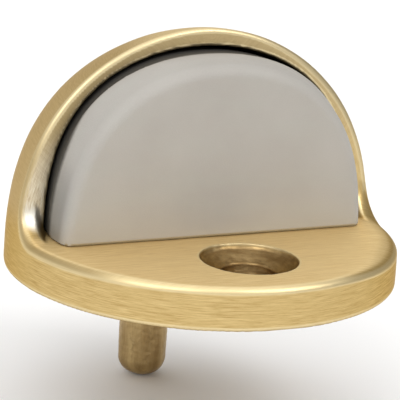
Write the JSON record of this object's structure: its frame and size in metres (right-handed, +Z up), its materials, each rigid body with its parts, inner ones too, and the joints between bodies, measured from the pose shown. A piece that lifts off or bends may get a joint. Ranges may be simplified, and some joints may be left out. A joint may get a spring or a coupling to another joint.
{
  "type": "door stop",
  "caption": "Floor-mounted dome door stop: a brass casting whose open hood holds a D-shaped rubber bumper, with a countersunk screw hole and a locating pin beneath",
  "frame": {"origin": "centre of the flat round underside, in the plane of the floor that the base is screwed to", "axes": "+Z is up, away from the floor; the bumper and the screw hole are on the -Y side, towards the door; +X is to the right as seen by someone behind the stop looking along +Y"},
  "size_m": [0.0476, 0.0476, 0.0481],
  "materials": {
    "satin_brass": "cast and brushed to a satin sheen, with the grain running round the base",
    "grey_rubber": "matt warm grey moulded rubber",
    "cast_brass": "dull brown as-cast brass",
    "zinc_steel": "bright zinc plating"
  },
  "bodies": {
    "root": {"housing": "satin_brass", "bumper": "grey_rubber", "locating_pin": "cast_brass", "bumper_screw": "zinc_steel"}
  },
  "joints": []
}
